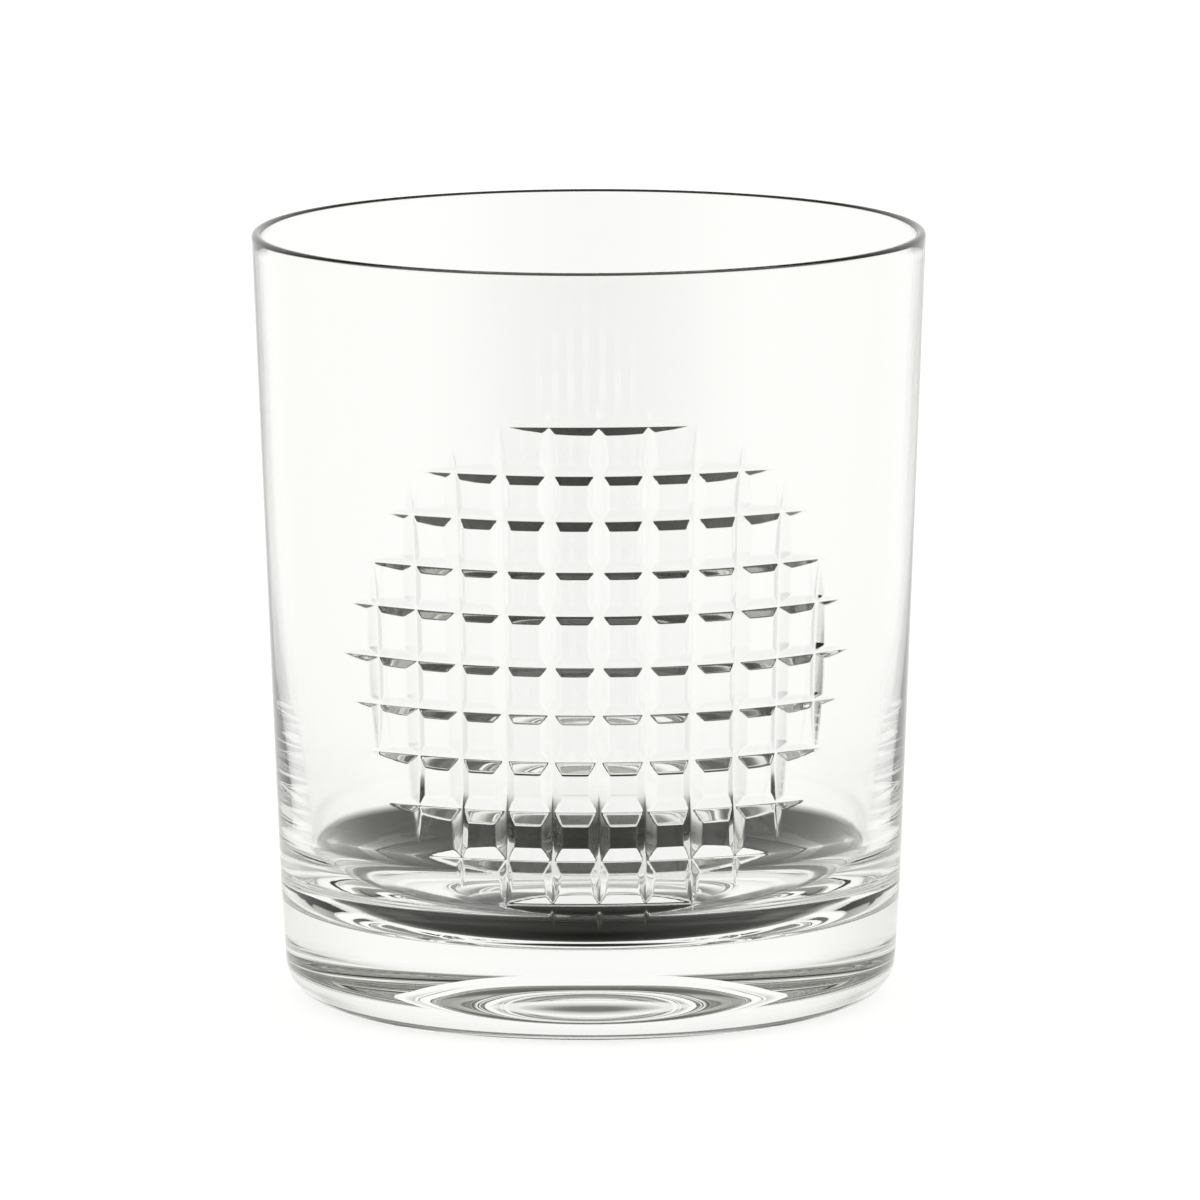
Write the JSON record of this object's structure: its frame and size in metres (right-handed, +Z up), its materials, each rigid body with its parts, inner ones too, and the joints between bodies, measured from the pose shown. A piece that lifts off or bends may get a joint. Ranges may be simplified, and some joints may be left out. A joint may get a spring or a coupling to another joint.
{
  "type": "whiskey tumbler",
  "caption": "Clear cut-crystal old-fashioned tumbler: thin tapered wall, thick solid base and a round patch of crossed V-cut grooves on the front.",
  "frame": {"origin": "centre of the foot, on the surface that the tumbler stands on", "axes": "+Z up along the glass's axis, through the open mouth; the cut patch faces -Y"},
  "size_m": [0.084, 0.084, 0.0963],
  "materials": {
    "crystal": "clear polished crystal glass with acid-polished mitre cuts"
  },
  "bodies": {
    "root": {"tumbler_glass": "crystal"}
  },
  "joints": []
}
